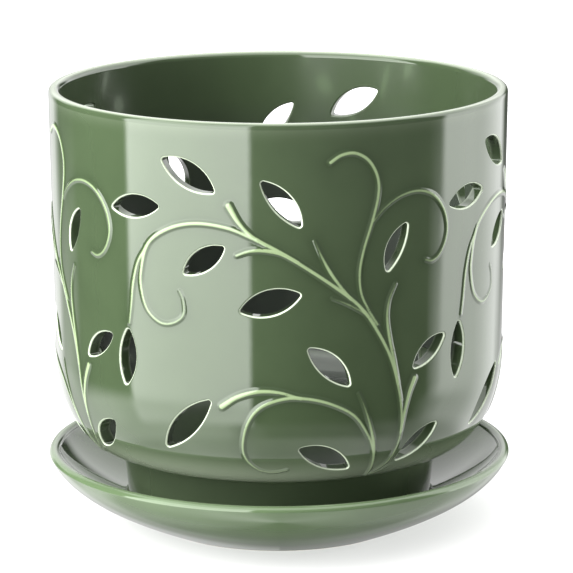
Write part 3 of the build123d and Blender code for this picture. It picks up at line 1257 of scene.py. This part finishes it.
@dataclass(frozen=True)
class GreenGlaze:
    """Glossy green glaze: darker where it pools, pale on crests, edges and lips from thinner glaze and
    painted highlights, with painted shade on raised lines' flanks and low inside, and painted light on
    the shoulder, brow and foot.
    """

    name: str
    body: tuple[float, float, float] = (0.0308, 0.0460, 0.0224)
    deep_and_shade: tuple[float, float, float] = (0.0232, 0.0352, 0.0168)
    crest: tuple[float, float, float] = (0.175, 0.230, 0.122)
    edge: tuple[float, float, float] = (0.37, 0.42, 0.32)
    glow: tuple[float, float, float] = (0.60, 1.0, 0.42)
    glow_level: float = 0.08
    bending: float = 1.5
    roughness: float = 0.07
    coat_roughness: float = 0.02
    inside_roughness: float = 0.24
    shade: tuple[float, float, float] = (0.032, 0.038, 0.031)
    mottle_size: float = 0.018
    mottle_span: tuple[float, float] = (0.30, 0.72)
    mottle_share: float = 0.35
    pool_and_shade_share: float = 0.7
    flank_shade_start: tuple[float, float] = (0.02, 0.25)
    flank_shade_end: tuple[float, float] = (0.4, 0.8)
    flank_shade_share: float = 0.6
    crest_span: tuple[float, float] = (0.66, 0.98)
    edge_span: tuple[float, float] = (0.15, 0.95)
    ripple_size: float = 0.004
    ripple_depth: float = 0.00002
    ripple_strength: float = 0.35

    def material(self) -> bpy.types.Material:
        """Build the glaze's material from noise and the glaze marks.

        Returns:
            The material.
        """
        material, sheet, shader = new_material(self.name)
        marks = sheet.add("ShaderNodeAttribute", attribute_name="glaze")
        parts = sheet.add("ShaderNodeSeparateColor")
        sheet.join(marks.outputs["Color"], parts.inputs["Color"])
        # Marks: raised-line height (pale crest with a painted highlight, flanks with painted shade);
        # paling of edges, lips and bands (thinner glaze, painted highlights, painted light); glaze
        # pooling, which on the inner wall is painted shade; inside share.
        crest, edge, pool = parts.outputs["Red"], parts.outputs["Green"], parts.outputs["Blue"]
        place = sheet.add("ShaderNodeTexCoord")
        mottle = sheet.add(
            "ShaderNodeTexNoise", Scale=1 / self.mottle_size, Detail=3.0, Roughness=0.55)
        sheet.join(place.outputs["Object"], mottle.inputs["Vector"])
        uneven = sheet.math(
            "MULTIPLY", sheet.ease(mottle.outputs["Fac"], *self.mottle_span), self.mottle_share)
        # Glaze pooling beside raised lines; on the inner wall this is painted shade, darker lower down.
        pool_and_inner_shade = sheet.math("MULTIPLY", pool, self.pool_and_shade_share)
        colour = sheet.blend(sheet.math("ADD", uneven, pool_and_inner_shade, clamp=True), self.body, self.deep_and_shade)
        # Painted shade on the flanks of raised lines, partly glaze pooling at their foot.
        flank_shade = sheet.math(
            "SUBTRACT", sheet.ease(crest, *self.flank_shade_start), sheet.ease(crest, *self.flank_shade_end))
        colour = sheet.blend(sheet.math("MULTIPLY", flank_shade, self.flank_shade_share), colour, self.deep_and_shade)
        # Pale crest of raised lines: thinner glaze, with a painted highlight.
        colour = sheet.blend(sheet.ease(crest, *self.crest_span), colour, self.crest)
        # Painted shade: the inner wall darkens lower down, standing in for the shadow inside the pot.
        depth = sheet.math("MULTIPLY", pool, marks.outputs["Alpha"])
        colour = sheet.blend(depth, colour, self.shade)
        # Pale edges, lips and bands: thinner glaze with painted highlights, and painted light on the
        # shoulder, brow and foot.
        colour = sheet.blend(sheet.ease(edge, *self.edge_span), colour, self.edge)
        sheet.join(colour, shader.inputs["Base Color"])
        sheet.settle(
            shader, Roughness=self.roughness, IOR=self.bending, Coat_Weight=1.0,
            Coat_IOR=self.bending, Specular_IOR_Level=self.glow_level,
            Specular_Tint=(*self.glow, 1))
        duller = self.inside_roughness - self.coat_roughness
        inside = sheet.math("MULTIPLY", marks.outputs["Alpha"], duller)
        sheet.join(sheet.math("ADD", inside, self.coat_roughness), shader.inputs["Coat Roughness"])
        ripple = sheet.add("ShaderNodeTexNoise", Scale=1 / self.ripple_size, Detail=2.0)
        sheet.join(place.outputs["Object"], ripple.inputs["Vector"])
        bump = sheet.add(
            "ShaderNodeBump", Strength=self.ripple_strength, Distance=self.ripple_depth)
        sheet.join(ripple.outputs["Fac"], bump.inputs["Height"])
        sheet.join(bump.outputs["Normal"], shader.inputs["Normal"])
        sheet.join(bump.outputs["Normal"], shader.inputs["Coat Normal"])
        return material


@dataclass(frozen=True)
class BareClay:
    """Pale unglazed clay of the rings that the pieces stand on."""

    name: str = "bare_clay"
    colour: tuple[float, float, float] = (0.56, 0.50, 0.42)
    speck: tuple[float, float, float] = (0.36, 0.31, 0.25)
    speck_span: tuple[float, float] = (0.60, 0.72)
    roughness: float = 0.85
    grain_scale: float = 1400.0
    grain_depth: float = 0.0001
    grain_strength: float = 0.4

    def material(self) -> bpy.types.Material:
        """Build the matt, finely specked clay.

        Returns:
            The material.
        """
        material, sheet, shader = new_material(self.name)
        place = sheet.add("ShaderNodeTexCoord")
        grain = sheet.add("ShaderNodeTexNoise", Scale=self.grain_scale, Detail=4.0)
        sheet.join(place.outputs["Object"], grain.inputs["Vector"])
        specks = sheet.ease(grain.outputs["Fac"], *self.speck_span)
        sheet.join(sheet.blend(specks, self.colour, self.speck), shader.inputs["Base Color"])
        sheet.settle(shader, Roughness=self.roughness)
        bump = sheet.add("ShaderNodeBump", Strength=self.grain_strength, Distance=self.grain_depth)
        sheet.join(grain.outputs["Fac"], bump.inputs["Height"])
        sheet.join(bump.outputs["Normal"], shader.inputs["Normal"])
        return material


@dataclass(frozen=True)
class RoomBand:
    """A band of the room between two slants, with its brightness by direction round the pot."""

    low: float
    high: float
    levels: tuple[tuple[float, float], ...]


# Slants in degrees above the horizon, and brightness by degrees from the front.
ROOM_BANDS = (
    RoomBand(-95, -44, (
        (-180, 0.18), (-165, 0.3), (-150, 0.7), (-137, 0.8), (-120, 0.9), (-90, 1.6), (-60, 2.5),
        (-30, 2.2), (-15, 1.4), (0, 1.2), (30, 1.5), (60, 1.7), (90, 1.3), (129, 0.85), (145, 0.65),
        (160, 0.3), (180, 0.18))),
    RoomBand(-44, -33, (
        (-180, 0.22), (-165, 0.55), (-158, 0.8), (-150, 1.15), (-140, 1.35), (-125, 1.7), (-105, 2.0),
        (-90, 2.3), (-60, 3.2), (-30, 2.9), (-18, 1.2), (-5, 0.4), (60, 0.6), (80, 0.9), (100, 1.3),
        (116, 1.2), (133, 0.95), (148, 0.85), (158, 0.75), (166, 0.4), (180, 0.22))),
    RoomBand(-33, -20, (
        (-180, 0.45), (-170, 0.7), (-162, 1.1), (-155, 1.2), (-148, 0.8), (-140, 1.0), (-130, 1.3),
        (-120, 1.6), (-110, 2.1), (-100, 2.5), (-85, 2.5), (-80, 4.6), (-15.5, 5.4), (-12.5, 0.05),
        (75, 0.1), (82, 0.75), (88, 1.7), (96, 2.5), (105, 2.2), (115, 1.9), (130, 1.9), (143, 1.6),
        (149, 0.9), (155, 1.0), (161, 0.8), (168, 0.4), (175, 0.3), (180, 0.3))),
    RoomBand(-20, -13, (
        (-180, 1.0), (-172, 0.95), (-160, 1.4), (-150, 1.5), (-144, 1.0), (-135, 1.2), (-126, 1.0),
        (-121, 0.1), (-82, 0.05), (-79.5, 6.6), (-15.5, 6.6), (-12.5, 0.15), (40, 0.1), (80, 0.1),
        (86, 2.3), (91, 4.2), (99, 3.8), (106, 3.1), (118, 2.3), (136, 2.1), (144, 1.8), (149, 0.8),
        (155, 0.7), (160, 0.9), (170, 1.0), (180, 1.0))),
    RoomBand(-13, 12, (
        (-180, 0.75), (-168, 0.75), (-160, 1.1), (-152, 1.2), (-147, 0.6), (-142, 0.05), (-100, 0.1),
        (-82, 0.1), (-79.5, 8.8), (-15.5, 8.8), (-12.5, 0.5), (40, 0.4), (84, 0.3), (88, 0.5),
        (92, 5.4), (99, 4.7), (106, 4.1), (112, 3.5), (118, 2.8), (124, 2.35), (130, 2.2),
        (142, 1.9), (149, 1.7), (154, 0.7), (158, 0.05), (167, 0.05), (172, 0.4), (176, 0.8),
        (180, 1.0))),
    RoomBand(12, 48, (
        (-180, 1.3), (-135, 1.3), (-125, 0.1), (-82, 0.1), (-79.5, 6.8), (-15.5, 6.8), (-12.5, 0.2),
        (80, 0.2), (90, 4.0), (130, 3.0), (146, 1.5), (180, 1.3))),
    RoomBand(48, 95, ((-180, 3.2), (180, 3.2))),
)


@dataclass(frozen=True)
class Lamp:
    """A square soft lamp that points at the pot and that the glaze doesn't mirror."""

    name: str
    place: tuple[float, float, float]
    size: float
    power: float


@dataclass(frozen=True)
class Studio:
    """Plain pale floor, soft room light and the camera at the photograph's viewing angle.

    Places and reaches are in metres, and the camera's three angles are in radians.
    """

    camera_place: tuple[float, float, float] = (0.0, -1.13834, 0.34484)
    pitch: float = 0.2239
    yaw: float = 0.0025
    roll: float = -0.0024
    focal_length: float = 201.34
    film_width: float = 36.0
    floor_half: float = 6.0
    band_fade: float = 4.0
    peak_level: float = 12.0
    floor_colour: float = 0.37
    floor_roughness: float = 0.9
    floor_glow: float = 0.56
    far_glow: float = 1.0
    glow_reach: tuple[float, float] = (0.13, 0.45)
    clip: tuple[float, float] = (0.05, 60.0)
    aim_height: float = 0.08
    lamps: tuple[Lamp, ...] = (
        Lamp("left_front", (-1.1, -0.3, 0.6), 0.5, 17.5),
        Lamp("near_left", (-0.34, -0.12, 0.33), 0.12, 1.9),
        Lamp("low_right", (0.60, 0.26, 0.04), 0.20, 8.0),
        Lamp("overhead", (-0.05, -0.10, 0.60), 0.12, 1.0),
    )

    def lay_floor(self) -> None:
        """Lay a large pale floor, which mirror-like surfaces look through to the room's light."""
        half = self.floor_half
        mesh = bpy.data.meshes.new("floor")
        corners = [(-half, -half, 0), (half, -half, 0), (half, half, 0), (-half, half, 0)]
        mesh.from_pydata(corners, [], [(0, 1, 2, 3)])
        floor = new_object("floor", mesh)
        material, sheet, shader = new_material("pale_floor")
        tone = self.floor_colour
        sheet.settle(
            shader, Base_Color=(tone, tone, tone, 1), Roughness=self.floor_roughness,
            Specular_IOR_Level=0.0, Emission_Color=(1, 1, 1, 1))
        place = sheet.add("ShaderNodeTexCoord")
        reach = sheet.add("ShaderNodeVectorMath", operation="LENGTH")
        sheet.join(place.outputs["Object"], reach.inputs[0])
        beyond = sheet.ease(reach.outputs["Value"], *self.glow_reach)
        far = sheet.math("MULTIPLY", beyond, self.far_glow - self.floor_glow)
        sheet.join(sheet.math("ADD", far, self.floor_glow), shader.inputs["Emission Strength"])
        mesh.materials.append(material)
        floor.visible_glossy = False
        floor.visible_diffuse = False
        floor.visible_shadow = False

    def fill_world(self) -> None:
        """Give the room its light, band over band."""
        world = bpy.data.worlds.new("room")
        bpy.context.scene.world = world
        world.use_nodes = True
        sheet = NodeSheet(world.node_tree)
        background = world.node_tree.nodes["Background"]
        way = sheet.add("ShaderNodeTexCoord")
        axes = sheet.add("ShaderNodeSeparateXYZ")
        sheet.join(way.outputs["Generated"], axes.inputs["Vector"])
        forward = sheet.math("MULTIPLY", axes.outputs["Y"], -1.0)
        turn = sheet.math("MULTIPLY", sheet.math("ARCTAN2", axes.outputs["X"], forward), 180 / math.pi)
        slant = sheet.math("MULTIPLY", sheet.math("ARCSINE", axes.outputs["Z"]), 180 / math.pi)
        share = sheet.math("ADD", sheet.math("DIVIDE", turn, 360.0), 0.5)
        light = None
        for band in ROOM_BANDS:
            level = sheet.profile(
                share, [((angle + 180) / 360, level / self.peak_level) for angle, level in band.levels])
            raised = sheet.ease(slant, band.low - self.band_fade, band.low + self.band_fade)
            topped = sheet.ease(slant, band.high - self.band_fade, band.high + self.band_fade)
            part = sheet.math("MULTIPLY", level, sheet.math("SUBTRACT", raised, topped))
            light = part if light is None else sheet.math("ADD", light, part)
        background.inputs["Color"].default_value = (1, 1, 1, 1)
        sheet.join(sheet.math("MULTIPLY", light, self.peak_level), background.inputs["Strength"])

    def place_camera(self) -> None:
        """Place the camera where the photograph was taken from."""
        sin_pitch, cos_pitch = math.sin(self.pitch), math.cos(self.pitch)
        sin_yaw, cos_yaw = math.sin(self.yaw), math.cos(self.yaw)
        ahead = Vector((sin_yaw * cos_pitch, cos_yaw * cos_pitch, -sin_pitch))
        right = Vector((cos_yaw, -sin_yaw, 0))
        upward = right.cross(ahead)
        sin_roll, cos_roll = math.sin(self.roll), math.cos(self.roll)
        rolled_right = cos_roll * right + sin_roll * upward
        rolled_up = cos_roll * upward - sin_roll * right
        lens = bpy.data.cameras.new("camera")
        lens.lens = self.focal_length
        lens.sensor_width = self.film_width
        lens.sensor_fit = "HORIZONTAL"
        lens.clip_start, lens.clip_end = self.clip
        camera = new_object("camera", lens)
        turn = Matrix((rolled_right, rolled_up, -ahead)).transposed()
        camera.matrix_world = Matrix.Translation(self.camera_place) @ turn.to_4x4()
        bpy.context.scene.camera = camera

    def add_lamp(self, lamp: Lamp) -> None:
        """Stand one lamp, hidden from mirror-like surfaces.

        Args:
            lamp: The lamp.
        """
        light = bpy.data.lights.new(lamp.name, "AREA")
        light.shape = "SQUARE"
        light.size = lamp.size
        light.energy = lamp.power
        stand = new_object(lamp.name, light)
        stand.location = lamp.place
        aim = Vector((0, 0, self.aim_height)) - Vector(lamp.place)
        stand.rotation_euler = aim.to_track_quat("-Z", "Y").to_euler()
        stand.visible_glossy = False

    def set_up(self) -> None:
        """Set the stage, the light, the camera and the plain tone curve."""
        self.lay_floor()
        self.fill_world()
        for lamp in self.lamps:
            self.add_lamp(lamp)
        self.place_camera()
        bpy.context.scene.view_settings.view_transform = "Standard"
        log.info("studio: floor, room light, lamps and camera")


def corner(point: Vector) -> list[float]:
    """Give a corner as plain numbers."""
    return [float(value) for value in point]


def main() -> None:
    """Build the saucer and the pot from the frame, then the studio."""
    logging.basicConfig(level=logging.INFO, format="%(name)s %(message)s")
    _, saucer_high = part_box("saucer")
    pot_low, pot_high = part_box("orchid_pot")
    saucer_radius = saucer_high.x / MM
    clay = BareClay().material()
    pot = OrchidPot(
        overall_height=pot_high.z / MM, rim_radius=saucer_radius - SAUCER_OVERHANG,
        seat_height=pot_low.z / MM)
    pot.build([GreenGlaze("pot_glaze").material(), clay])
    saucer = Saucer(
        radius=saucer_radius, height=saucer_high.z / MM, pot_foot_radius=pot.foot_radius)
    # The saucer takes the pot's glaze made lighter: painted light on the saucer.
    saucer_glaze = GreenGlaze("saucer_glaze", body=(0.060, 0.090, 0.044), deep_and_shade=(0.046, 0.068, 0.034))
    saucer.build([saucer_glaze.material(), clay])
    Studio().set_up()


if __name__ == "__main__":
    main()
